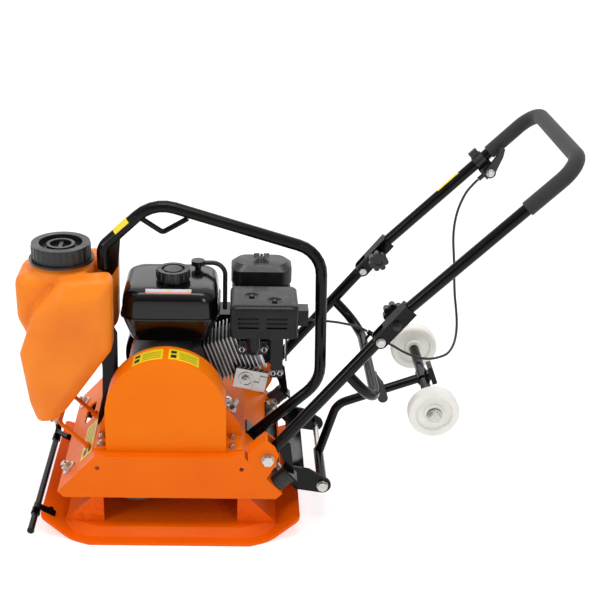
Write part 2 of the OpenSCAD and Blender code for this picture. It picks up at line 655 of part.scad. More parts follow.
// Flat lever on a pin of the carburettor's plate, pointing towards the fan housing
module small_lever(p, reach) difference() {
  union() {
    rod_y(p, 75 + gap, 78, 16);
    box([p[0] - reach, 75 + gap, p[1] - 3.5], [p[0], 78, p[1] + 3.5]);
    rod_y([p[0] - reach, p[1]], 75 + gap, 86, 10);
  }
  rod_y(p, 70, 90, 6 + 2 * fit);
}
module choke_lever() color("#b5b5b5") small_lever([152, 360], 17);
module fuel_lever() color("#c04030") small_lever([176, 332], 34);

module fuel_tank_form(o) hull() {
  slab(-76 + o, 70 - o, -76 + o, 31 - o, 362 + o, 4, 16);
  slab(-92 + o, 89 - o, -90 + o, 74 - o, 412, 8, 30);
  slab(-90 + o, 87 - o, -88 + o, 72 - o, 446, 5, 30);
  slab(-78 + o, 76 - o, -76 + o, 60 - o, 465 - o, 4, 26);
}
module fuel_tank() color("#151515") difference() {
  union() {
    fuel_tank_form(0);
    translate([fuel_cap_at[0], fuel_cap_at[1], 455]) cylinder(r = 22, h = 26);
    hull() slab(-95, 92, -93, 77, 415, 2.5, 32);
  }
  fuel_tank_form(2.5);
  translate([fuel_cap_at[0], fuel_cap_at[1], 440]) cylinder(r = 19, h = 60);
}
module fuel_cap() color("#1d1d1f") translate(fuel_cap_at) difference() {
  union() {
    cylinder(r = 30, h = 21);
    for (a = [0:22.5:337.5]) rotate(a) translate([29.5, 0, 3]) cylinder(r = 3, h = 16, $fn = 20);
  }
  translate([0, 0, -1]) cylinder(r = 22 + gap, h = 13.5);
  translate([0, 0, 17]) difference() {
    cylinder(r = 22, h = 5);
    translate([0, 0, -1]) cylinder(r = 17, h = 7);
  }
}
module vent_valve() color("#1d1d1f") {
  translate([48, 30, 469]) cylinder(r = 6, h = 8);
  translate([48, 30, 477]) cylinder(r = 13, h = 9);
  bent_rod([[55, 30, 481], [100.5, 30, 481], [100.5, 30, 384]], 9, 25);
}
module fan_shroud() color("#17171a") {
  difference() {
    union() {
      rod_y([crank[0], crank[2]], 38, 100, 176);
      box([crank[0], 38, 288], [128, 100, 368]);
    }
    rod_y([crank[0], crank[2]], 37, 97, 170);
    box([crank[0], 37, 291], [125, 97, 365]);
    rod_y([crank[0], crank[2]], 90, 101, 130);
  }
  box([74, 62, 222], [96, 92, 262]);
}
// The starter cord leaves the recoil cover along a chord
pull_dir = [cos(150), 0, sin(150)];
pull_from = [crank[0] + 46 * cos(60), 112, crank[2] + 46 * sin(60)];
module recoil_cover() color("#17171a") {
  difference() {
    union() {
      rod_y([crank[0], crank[2]], 100, 124, 156);
      rod_y([crank[0], crank[2]], 124, 146, 120);
      aim(pull_from + 50 * pull_dir, pull_from + 68 * pull_dir) cylinder(d = 14, h = 16);
    }
    rod_y([crank[0], crank[2]], 99, 121, 150);
    rod_y([crank[0], crank[2]], 99, 143, 114);
    for (a = [0:30:330]) translate([crank[0], 130, crank[2]]) rotate([0, a, 0])
      box([22, 0, -3], [46, 30, 3]);
    aim(pull_from + 40 * pull_dir, pull_from + 80 * pull_dir) cylinder(d = 5, h = 60);
  }
}
module starter_grip() color("#1b1b1b") {
  aim(pull_from - 55 * pull_dir, pull_from + 70 * pull_dir) cylinder(d = 4, h = 125);
  aim(pull_from + 69 * pull_dir, pull_from + 90 * pull_dir) cylinder(d1 = 12, d2 = 16, h = 17);
  aim(pull_from + 87 * pull_dir + [0, -22, 0], pull_from + 87 * pull_dir + [0, 22, 0])
    cylinder(d = 15, h = 44);
}
module crankshaft() color("silver") {
  rod_y([crank[0], crank[2]], -94, 92, 25);
  rod_y([crank[0], crank[2]], -152, -94, 19);
  difference() {
    rod_y([crank[0], crank[2]], 44, 60, 136);
    rod_y([crank[0], crank[2]], 40, 50, 90);
    rod_y([crank[0], crank[2]], 40, 70, 25);
  }
  for (a = [0:24:336]) translate([crank[0], 60, crank[2]]) rotate([0, a, 0])
    box([40, 0, -1.5], [66, 20, 1.5]);
}
module clutch_pulley() color("#3a3a3c") difference() {
  union() {
    translate([crank[0], belt_y, crank[2]]) pulley(clutch_belt_r, 10);
    rod_y([crank[0], crank[2]], belt_y + 10, -108, 100);
    rod_y([crank[0], crank[2]], belt_y - 10, -106, 40);
  }
  rod_y([crank[0], crank[2]], -200, -100, 19);
}
module engine_switch() color("crimson") {
  translate([85, 92 + gap, 242]) rotate([-90, 0, 0]) cylinder(d = 20, h = 6);
  box([82, 98, 233], [88, 104, 251]);
}
module oil_plug() color("#bdbdb8") aim(oil_boss, oil_boss + oil_axis) translate([0, 0, oil_boss_h + gap]) {
  cylinder(r = 15, h = 4);
  cylinder(r = 9, h = 8);
  translate([-4, -13, 4]) cube([8, 26, 13]);
}

// ---------------------------------------------------------------- handle
lower_dir = [cos(lower_angle), 0, sin(lower_angle)];
lower_up = [-sin(lower_angle), 0, cos(lower_angle)];
bow_start = polar(tilt_pivot, 224, lower_angle);
// A place along the lower handle, measured from the fold bolt
function by_fold(s, up) = [fold_pivot[0], 0, fold_pivot[1]] + s * lower_dir + up * lower_up;
function flat(v) = [v[0], v[2]];

module handle_lower() color("#161616") {
  low = at_y(tilt_pivot, 0) - 14 * lower_dir;
  tip = by_fold(52, 0);
  shift = [0, handle_y, 0];
  difference() {
    for (s = [near, far]) aim(low + s * shift, tip + s * shift)
      linear_extrude(norm(tip - low)) section(tube_d, tube_wall);
    rod_y(tilt_pivot, -deck_w, deck_w, bolt_d + 2 * fit);
    rod_y(flat(by_fold(0, 0)), -deck_w, deck_w, 8);
    // Open slot that the lock bolt swings out of
    plate_y(-deck_w, deck_w) polygon([
      for (p = [[-6.5, -4.7], [4.7, -4.7], [4.7, 20], [-6.5, 20]]) flat(by_fold(lock_s + p[0], p[1]))]);
  }
  difference() {
    u_rod(at_y(bow_start, 0), bow_angle, 88, handle_y, 20, 55, tube_wall);
    for (s = [near, far]) aim(low + s * shift, tip + s * shift)
      cylinder(d = tube_d, h = norm(tip - low));
  }
  // Tie that holds the throttle cable on the bow
  difference() {
    union() {
      aim(cable_tie[0], cable_tie[1]) translate([0, 0, 1.2])
        cylinder(d = 10, h = norm(cable_tie[1] - cable_tie[0]) - 2.4);
      aim([384.6, 98, 282.2], lerp(cable_tie[0], cable_tie[1], 0.5)) cylinder(d = 6, h = 21);
    }
    rod_y([384.6, 282.2], 80, 120, 18);
  }
  // Arms that press the handle down on the rubber buffers
  for (s = [near, far]) {
    plate_y(s * 161 - 3, s * 161 + 3) polygon([
      [200, 191], [213, 207], [228, 190], flat(pad_at(10)), flat(pad_at(-12))]);
    on_slope(1, 203, s * buffer_y) translate([0, 0, buffer_h + gap]) box([-16, -16, 0], [16, 16, 4]);
  }
}
// A place on top of the buffer pad, measured down the slope
function pad_at(x) = [203, 0, slope_z(203)] + (buffer_h + gap + 3) * [sin(slope_angle), 0, cos(slope_angle)]
  + x * [cos(slope_angle), 0, -sin(slope_angle)];

cheek_y = 11.4;      // from the tube's middle to the inner face of a hinge cheek
channel_r = 13;      // half height of the hinge channel
module hinge_channel(s) {
  outline = concat(
    [for (a = [90:15:270]) polar(fold_pivot, channel_r, a + lower_angle)],
    [flat(by_fold(80, -channel_r)), flat(by_fold(80, channel_r))]
  );
  difference() {
    union() {
      for (k = [-1, 1]) {
        y = s * handle_y + k * (cheek_y + 1.5);
        plate_y(y - 1.5, y + 1.5) polygon(outline);
      }
      plate_y(s * handle_y - cheek_y - 3, s * handle_y + cheek_y + 3) polygon([
        for (p = [[22, 11.4], [80, 11.4], [80, channel_r], [22, channel_r]]) flat(by_fold(p[0], p[1]))]);
      plate_y(s * handle_y - cheek_y, s * handle_y + cheek_y) polygon([
        for (p = [[64, -6], [80, -4], [80, 10], [64, 8]]) flat(by_fold(p[0], p[1]))]);
    }
    rod_y(fold_pivot, -2 * deck_w, 2 * deck_w, 8 + 2 * fit);
    rod_y(flat(by_fold(lock_s, 0)), -2 * deck_w, 2 * deck_w, 8 + 2 * fit);
  }
}
upper_dir = [cos(upper_angle), 0, sin(upper_angle)];
upper_down = [sin(upper_angle), 0, -cos(upper_angle)];
grip_start = 284;    // along the upper handle
module handle_upper() color("#161616") {
  difference() {
    u_rod(at_y(upper_start, 0), upper_angle, upper_l, handle_y, tube_d, 45, tube_wall);
    for (s = [near, far]) hinge_clear(s);
  }
  for (s = [near, far]) hinge_channel(s);
}
// Space kept free for the end of the lower tube
module hinge_clear(s) plate_y(s * handle_y - 20, s * handle_y + 20) polygon([
  for (p = [[-20, -20], [57, -20], [57, 24], [-20, 24]]) flat(by_fold(p[0], p[1]))]);
module foam_grip() color("#3a3638")
  u_rod(at_y(upper_start, 0) + grip_start * upper_dir, upper_angle, upper_l - grip_start,
    handle_y, grip_d, 45, (grip_d - tube_d) / 2 - fit);
module hinge_bolts() color("silver") for (s = [near, far]) {
  out = s * (handle_y + cheek_y + 3 + gap);
  in = s * (handle_y - cheek_y - 3 - gap);
  rod_y(fold_pivot, min(in, out), max(in, out), 8);
  translate(at_y(fold_pivot, out)) rotate([s * -90, 0, 0]) {
    cylinder(d = 17, h = 1.6);
    translate([0, 0, 1.6]) hex(13, 5.5);
  }
  translate(at_y(fold_pivot, in)) rotate([s * 90, 0, 0]) hex(13, 7);
}
// Seven-lobed knob with its bolt, which locks the fold
module star_knob(s) {
  in = handle_y - cheek_y - 3 - gap;
  at = flat(by_fold(lock_s, 0));
  color("#1b1b1b") translate(at_y(at, s * in)) rotate([s * 90, 0, 0]) {
    cylinder(d = 16, h = 20);
    translate([0, 0, 20]) difference() {
      union() {
        cylinder(d = 28, h = 15);
        for (a = [0:360 / 7:359]) rotate(a) translate([14, 0, 0]) cylinder(r = 6, h = 15, $fn = 24);
      }
      translate([0, 0, 12]) cylinder(d = 16, h = 4);
    }
  }
  color("silver") {
    rod_y(at, min(s * in, s * (handle_y + 27)), max(s * in, s * (handle_y + 27)), 8);
    translate(at_y(at, s * (handle_y + cheek_y + 3 + gap))) rotate([s * -90, 0, 0]) {
      cylinder(d = 17, h = 1.6);
      translate([0, 0, 1.6]) hex(13, 6.5);
    }
  }
}
module star_knob_near() star_knob(near);
module star_knob_far() star_knob(far);

clamp_at = at_y(upper_start, 0) + 261 * upper_dir;
lever_at = clamp_at + 24 * upper_down + [0, 156, 0];
module throttle_clamp() color("#1b1b1b") {
  difference() {
    union() {
      aim(at_far(-11), at_far(11)) cylinder(d = 30, h = 22);
      plate_y(149, 172) polygon([for (p = [[-14, 10], [14, 10], [14, 30], [-14, 34]])
        flat(clamp_at + p[0] * upper_dir + p[1] * upper_down)]);
      aim(lever_at - 12 * upper_dir, lever_at - 26 * upper_dir) cylinder(d = 9, h = 14);
      plate_y(164, 172) polygon([for (p = [[-9, -10], [9, -10], [9, -26], [-9, -26]])
        flat(clamp_at + p[0] * upper_dir + p[1] * upper_down)]);
    }
    aim(at_far(-20), at_far(20)) cylinder(d = tube_d + 0.1, h = 40);
    rod_y(flat(lever_at), 140, 180, 6);
  }
  translate([lever_at[0], 172, lever_at[2]]) rotate([-90, 0, 0]) hex(10, 5);
  rod_y(flat(lever_at), 138, 172, 6);
  rod_y(flat(lever_at), 134, 138, 11);
}
function at_far(s) = clamp_at + [0, handle_y, 0] + s * upper_dir;
module throttle_lever() color("#222222") difference() {
  union() {
    rod_y(flat(lever_at), 138 + gap, 149 - gap, 22);
    plate_y(140, 147) polygon([
      for (p = [[-3, 15], [34, 6], [45, -2], [52, 1], [50, 8], [38, 17], [8, 31], [0, 31]])
        flat(clamp_at + p[0] * upper_dir + p[1] * upper_down)
    ]);
  }
  rod_y(flat(lever_at), 130, 160, 6 + 2 * fit);
}
module cable_upper() color("black") cord(cable_upper_route, 5);
module cable_lower() color("black") cord(cable_lower_route, 5);

// ---------------------------------------------------------------- transport wheels
arm_y = 118;
arm_d = 18;
module wheel_bracket() color("#161616") difference() {
  union() {
    for (s = [-1, 1]) plate_y(s > 0 ? arm_y : -arm_y - 5, s > 0 ? arm_y + 5 : -arm_y) polygon(concat(
      [[190, slope_z(190)], [214, 127], [232, 119], [268, 112]],
      arc(arm_pivot, 17, 50, -105, 10),
      [[243, 67], [216, slope_z(214)], [209, slope_z(209)]]
    ));
    plate_y(-arm_y, arm_y) polygon([[232, 114], [262, 82], [258, 79], [228, 111]]);
    on_slope(1, 196, 0) box([-16, -arm_y, 0], [16, arm_y, 4]);
  }
  rod_y(arm_pivot, -140, 140, bolt_d);
  for (s = [-1, 1]) on_slope(1, mount_x, s * mount_y) cylinder(d = 32, h = 40);
}
module pivot_shaft() color("silver") {
  rod_y(arm_pivot, -arm_y - 5, arm_y + 5, bolt_d);
  for (s = [near, far]) translate(at_y(arm_pivot, s * (arm_y + 5))) rotate([s * -90, 0, 0]) {
    cylinder(d = 22, h = 2.5);
    translate([0, 0, 2.5]) cylinder(d = 19, h = 6);
  }
}
arm_corner = [327, 190.5];
arm_angle = atan2(axle_at[1] - arm_corner[1], axle_at[0] - arm_corner[0]);
module wheel_arm() color("#161616") difference() {
  union() {
    rod_y(arm_pivot, -arm_y + 2, 10, 20);
    cord(rounded([arm_pivot, arm_corner, axle_at], [0, 38, 0], 0), arm_d, 24);
    rod_y(axle_at, -16, 16, 26);
    // Foot lug behind the axle
    translate(at_y(axle_at, 0)) rotate([0, -arm_angle, 0]) {
      box([10, -8, -8], [14, 8, 8]);
      box([14, -15, -16], [24, 15, 22]);
    }
  }
  rod_y(arm_pivot, -150, 150, bolt_d + 2 * fit);
  rod_y(axle_at, -30, 30, 20);
}
hub_y = wheel_track / 2;
module axle() color("#3c3c40") {
  rod_y(axle_at, -hub_y + wheel_w / 2 + 1, hub_y - wheel_w / 2 - 1, 20);
  for (s = [near, far]) translate(at_y(axle_at, 0)) rotate([s * -90, 0, 0]) {
    translate([0, 0, hub_y - wheel_w / 2 - 2]) cylinder(d = 16, h = wheel_w + 14);
    translate([0, 0, hub_y + wheel_w / 2 + gap]) {
      cylinder(d = 28, h = 2);
      translate([0, 0, 2]) hex(20, 8);
    }
  }
}
module wheel(s) color("#e6e4de") translate(at_y(axle_at, s * hub_y)) rotate([90, 0, 0])
  rotate_extrude($fn = 72) polygon(concat(
    [[8 + fit, -wheel_w / 2], [17, -wheel_w / 2], [19, 3 - wheel_w / 2], [19, -7], [33, -7],
      [35, 2 - wheel_w / 2]],
    arc([wheel_d / 2 - 5, 5 - wheel_w / 2], 5, -90, 0, 5),
    arc([wheel_d / 2 - 5, wheel_w / 2 - 5], 5, 0, 90, 5),
    [[35, wheel_w / 2 - 2], [33, 7], [19, 7], [19, wheel_w / 2 - 3], [17, wheel_w / 2],
      [8 + fit, wheel_w / 2]]
  ));
module wheel_near() wheel(near);
module wheel_far() wheel(far);
clip_at = at_y([413, arm_corner[1] + (413 - arm_corner[0]) * tan(arm_angle)], 0);
module latch_clip() color("#1b1b1b") translate(clip_at) rotate([0, -arm_angle, 0]) difference() {
  union() {
    hull() for (z = [-12, 8]) rod_y([0, z], -14, 14, 20);
    hull() {
      rod_y([0, 10], -14, 14, 18);
      rod_y([-3, 30], -14, 14, 13);
    }
    hull() {
      rod_y([-3, 33], -14, 14, 14);
      rod_y([-14, 37], -14, 14, 9);
    }
  }
  aim([-20, 0, 0], [20, 0, 0]) cylinder(d = arm_d, h = 40);
}

base_plate();
rubber_mounts();
mount_bolts();
deck();
exciter_housing();
exciter_bearings();
exciter_shaft();
exciter_pulley();
v_belt();
belt_guard();
frame_bolts();
handle_brackets();
rubber_buffers();
roll_hoop();
tank_rod();
water_tank();
water_cap();
water_valve();
valve_lever();
water_hose();
sprinkler_bar();
crankcase();
cylinder_block();
rocker_cover();
cylinder_shield();
muffler();
muffler_shield();
air_filter_base();
air_filter_cover();
wing_nut();
carburettor();
fuel_tank();
fuel_cap();
vent_valve();
fan_shroud();
recoil_cover();
starter_grip();
crankshaft();
clutch_pulley();
engine_switch();
choke_lever();
fuel_lever();
oil_plug();
handle_lower();
handle_upper();
star_knob_near();
star_knob_far();
foam_grip();
throttle_lever();
throttle_clamp();
cable_upper();
cable_lower();
wheel_bracket();
pivot_shaft();
wheel_arm();
axle();
wheel_near();
wheel_far();
latch_clip();
hinge_bolts();
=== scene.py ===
import json
import math

import bmesh
import bpy
from mathutils import Matrix, Vector
from mathutils.bvhtree import BVHTree


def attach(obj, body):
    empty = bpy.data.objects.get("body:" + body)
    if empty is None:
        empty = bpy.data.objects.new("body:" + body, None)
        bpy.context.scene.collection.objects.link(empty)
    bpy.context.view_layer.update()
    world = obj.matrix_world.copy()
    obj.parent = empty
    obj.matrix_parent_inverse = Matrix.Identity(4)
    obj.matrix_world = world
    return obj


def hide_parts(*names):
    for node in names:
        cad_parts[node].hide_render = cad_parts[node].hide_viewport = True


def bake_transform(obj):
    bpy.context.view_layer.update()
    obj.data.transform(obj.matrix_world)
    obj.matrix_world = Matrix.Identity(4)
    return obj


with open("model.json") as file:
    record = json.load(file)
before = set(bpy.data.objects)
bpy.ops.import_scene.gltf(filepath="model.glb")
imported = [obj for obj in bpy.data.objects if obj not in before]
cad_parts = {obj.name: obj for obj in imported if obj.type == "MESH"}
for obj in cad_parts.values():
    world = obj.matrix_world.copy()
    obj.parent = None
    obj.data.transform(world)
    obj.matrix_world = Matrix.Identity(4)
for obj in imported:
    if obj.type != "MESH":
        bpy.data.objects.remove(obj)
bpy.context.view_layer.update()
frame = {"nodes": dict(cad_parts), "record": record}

NODES = frame["nodes"]
RECORD = frame["record"]
BODY_OF = {node: body for body, nodes in RECORD["behaviour"]["bodies"].items() for node in nodes}
SLOT_OF = {part["node"]: part["material_slot"] for part in RECORD["subparts"]}
MM = 0.001
HARD_EDGE = 34         # degrees; flatter edges are shaded smooth
FILM = 0.3             # thickness of a printed label, in millimetres


# ---------------------------------------------------------------- camera, floor and light
CAMERA_AT = Vector((0.119, -2.025, 1.311))
CAMERA_TURN = math.radians(0.42)     # clockwise from +Y, seen from above
CAMERA_DOWN = math.radians(25.71)
CAMERA_ROLL = math.radians(0.83)
LENS = 68.9
SENSOR = 36.0
SHIFT = (0.0972, 0.0628)


def make_camera():
    ahead = Vector((
        math.sin(CAMERA_TURN) * math.cos(CAMERA_DOWN),
        math.cos(CAMERA_TURN) * math.cos(CAMERA_DOWN),
        -math.sin(CAMERA_DOWN),
    ))
    level = Vector((math.cos(CAMERA_TURN), -math.sin(CAMERA_TURN), 0))
    upright = level.cross(ahead)
    right = math.cos(CAMERA_ROLL) * level + math.sin(CAMERA_ROLL) * upright
    up = math.cos(CAMERA_ROLL) * upright - math.sin(CAMERA_ROLL) * level
    data = bpy.data.cameras.new("camera")
    data.sensor_width = SENSOR
    data.lens = LENS
    data.shift_x, data.shift_y = SHIFT
    camera = bpy.data.objects.new("camera", data)
    camera.matrix_world = Matrix.Translation(CAMERA_AT) @ Matrix((right, up, -ahead)).transposed().to_4x4()
    bpy.context.scene.collection.objects.link(camera)
    bpy.context.scene.camera = camera


def make_light(name, at, target, size, watts):
    data = bpy.data.lights.new(name, "AREA")
    data.shape = "RECTANGLE"
    data.size, data.size_y = size
    data.energy = watts
    light = bpy.data.objects.new(name, data)
    light.location = at
    light.rotation_euler = (Vector(target) - Vector(at)).to_track_quat("-Z", "Y").to_euler()
    bpy.context.scene.collection.objects.link(light)


def make_world():
    """Soft room light, bright above and behind the machine and dim low in front of it."""
    world = bpy.data.worlds.new("studio")
    world.use_nodes = True
    tree = world.node_tree
    direction = tree.nodes.new("ShaderNodeTexCoord").outputs["Generated"]
    lean = tree.nodes.new("ShaderNodeVectorMath")
    lean.operation = "DOT_PRODUCT"
    lean.inputs[1].default_value = (0.1, 0.45, 0.9)
    tree.links.new(direction, lean.inputs[0])
    level = tree.nodes.new("ShaderNodeMapRange")
    for socket, number in (("From Min", -0.3), ("From Max", 0.95), ("To Min", 0.16), ("To Max", 0.95)):
        level.inputs[socket].default_value = number
    tree.links.new(lean.outputs["Value"], level.inputs["Value"])
    tree.links.new(level.outputs["Result"], tree.nodes["Background"].inputs["Strength"])
    tree.nodes["Background"].inputs["Color"].default_value = (1, 1, 1, 1)
    bpy.context.scene.world = world


def make_studio():
    make_world()
    bpy.context.scene.view_settings.view_transform = "Standard"
    make_light("top_softbox", (0.1, -0.2, 2.4), (0.1, 0, 0.3), (1.5, 1.0), 24)
    make_light("left_softbox", (-1.9, -1.5, 1.5), (0, 0, 0.3), (0.5, 1.3), 17)
    make_light("front_softbox", (1.3, -2.4, 1.2), (0.1, 0, 0.25), (0.6, 0.9), 13)
    make_light("back_softbox", (0.1, 2.7, 1.75), (0.1, 0, 0.35), (3.4, 1.2), 11)
    bpy.ops.mesh.primitive_plane_add(size=60, location=(0, 0, 0))
    floor = bpy.context.object
    floor.name = "floor"
    floor.data.materials.append(floor_material())


# ---------------------------------------------------------------- materials
class Shader:
    """A material's node tree around one Principled shader, in the object's own coordinates."""

    def __init__(self, name, colour, rough, metal=0.0, **sockets):
        self.material = bpy.data.materials.new(name)
        self.material.use_nodes = True
        self.tree = self.material.node_tree
        self.surface = self.tree.nodes["Principled BSDF"]
        self.place = self.tree.nodes.new("ShaderNodeTexCoord").outputs["Object"]
        self.colour = colour
        self.put("Base Color", (*colour, 1))
        self.put("Roughness", rough)
        self.put("Metallic", metal)
        for socket, value in sockets.items():
            self.put(socket.replace("_", " "), value)

    def put(self, socket, value):
        self.surface.inputs[socket].default_value = value

    def link(self, source, target):
        self.tree.links.new(source, target)

    def stretched(self, scale):
        node = self.tree.nodes.new("ShaderNodeMapping")
        node.inputs["Scale"].default_value = scale
        self.link(self.place, node.inputs["Vector"])
        return node.outputs["Vector"]

    def noise(self, scale, detail=3.0, place=None):
        node = self.tree.nodes.new("ShaderNodeTexNoise")
        node.inputs["Scale"].default_value = scale
        node.inputs["Detail"].default_value = detail
        self.link(place or self.place, node.inputs["Vector"])
        return node.outputs["Fac"]

    def spread(self, value, low, high, from_low=0.3, from_high=0.7):
        node = self.tree.nodes.new("ShaderNodeMapRange")
        ends = (("From Min", from_low), ("From Max", from_high), ("To Min", low), ("To Max", high))
        for socket, number in ends:
            node.inputs[socket].default_value = number
        self.link(value, node.inputs["Value"])
        return node.outputs["Result"]

    def mixed(self, factor, first, second):
        node = self.tree.nodes.new("ShaderNodeMix")
        node.data_type = "RGBA"
        self.link(factor, node.inputs["Factor"])
        for socket, value in ((node.inputs["A"], first), (node.inputs["B"], second)):
            if isinstance(value, bpy.types.NodeSocket):
                self.link(value, socket)
            else:
                socket.default_value = (*value, 1)
        return node.outputs["Result"]

    def vary_colour(self, scale, other, amount=1.0, detail=3.0):
        factor = self.spread(self.noise(scale, detail), 0, amount)
        current = self.surface.inputs["Base Color"]
        first = current.links[0].from_socket if current.is_linked else self.colour
        self.link(self.mixed(factor, first, other), current)
        return self

    def vary_rough(self, scale, low, high, detail=3.0):
        self.link(self.spread(self.noise(scale, detail), low, high), self.surface.inputs["Roughness"])
        return self

    def bump(self, height, strength, distance=0.001):
        node = self.tree.nodes.new("ShaderNodeBump")
        node.inputs["Strength"].default_value = strength
        node.inputs["Distance"].default_value = distance
        self.link(height, node.inputs["Height"])
        current = self.surface.inputs["Normal"]
        if current.is_linked:
            self.link(current.links[0].from_socket, node.inputs["Normal"])
        self.link(node.outputs["Normal"], current)
        return self

    def grain(self, scale, strength, distance=0.0005, detail=2.0):
        return self.bump(self.noise(scale, detail), strength, distance)

    def above(self, height, colour):
        """Another colour above a height in metres."""
        split = self.tree.nodes.new("ShaderNodeSeparateXYZ")
        self.link(self.place, split.inputs["Vector"])
        current = self.surface.inputs["Base Color"]
        first = current.links[0].from_socket if current.is_linked else self.colour
        share = self.spread(split.outputs["Z"], 0, 1, height - 0.002, height + 0.002)
        self.link(self.mixed(share, first, colour), current)
        return self

    def painted_gap_shade(self, colour, reach):
        """Painted shade that darkens gaps and inner corners narrower than the reach, in metres."""
        gaps = self.tree.nodes.new("ShaderNodeAmbientOcclusion")
        gaps.samples = 8
        gaps.inputs["Distance"].default_value = reach
        current = self.surface.inputs["Base Color"]
        first = current.links[0].from_socket if current.is_linked else self.colour
        open_share = self.spread(gaps.outputs["AO"], 1, 0, 0.25, 0.8)
        self.link(self.mixed(open_share, first, colour), current)
        return self

    def worn_edges(self, colour, amount=1.0):
        """Bare or dusty colour along the convex edges, broken up by noise."""
        geometry = self.tree.nodes.new("ShaderNodeNewGeometry")
        edge = self.spread(geometry.outputs["Pointiness"], 0, 1, 0.52, 0.6)
        broken = self.spread(self.noise(90, 4), 0, amount, 0.45, 0.6)
        both = self.tree.nodes.new("ShaderNodeMath")
        both.operation = "MULTIPLY"
        self.link(edge, both.inputs[0])
        self.link(broken, both.inputs[1])
        current = self.surface.inputs["Base Color"]
        first = current.links[0].from_socket if current.is_linked else self.colour
        self.link(self.mixed(both.outputs[0], first, colour), current)
        return self


def floor_material():
    paint = Shader("studio_floor", (0.5, 0.5, 0.5), 0.7)
    paint.put("Emission Color", (1, 1, 1, 1))
    paint.put("Emission Strength", 0.62)
    return paint.grain(40, 0.02).material


def enamel(name, colour, deeper, rough=0.32):
    """Sprayed enamel: faint orange peel, slow drift of colour and of gloss."""
    paint = Shader(name, colour, rough, Specular_IOR_Level=0.1)
    paint.vary_colour(7, deeper, 0.6)
    paint.vary_rough(14, rough - 0.06, rough + 0.08)
    return paint.grain(420, 0.12, 0.0003)


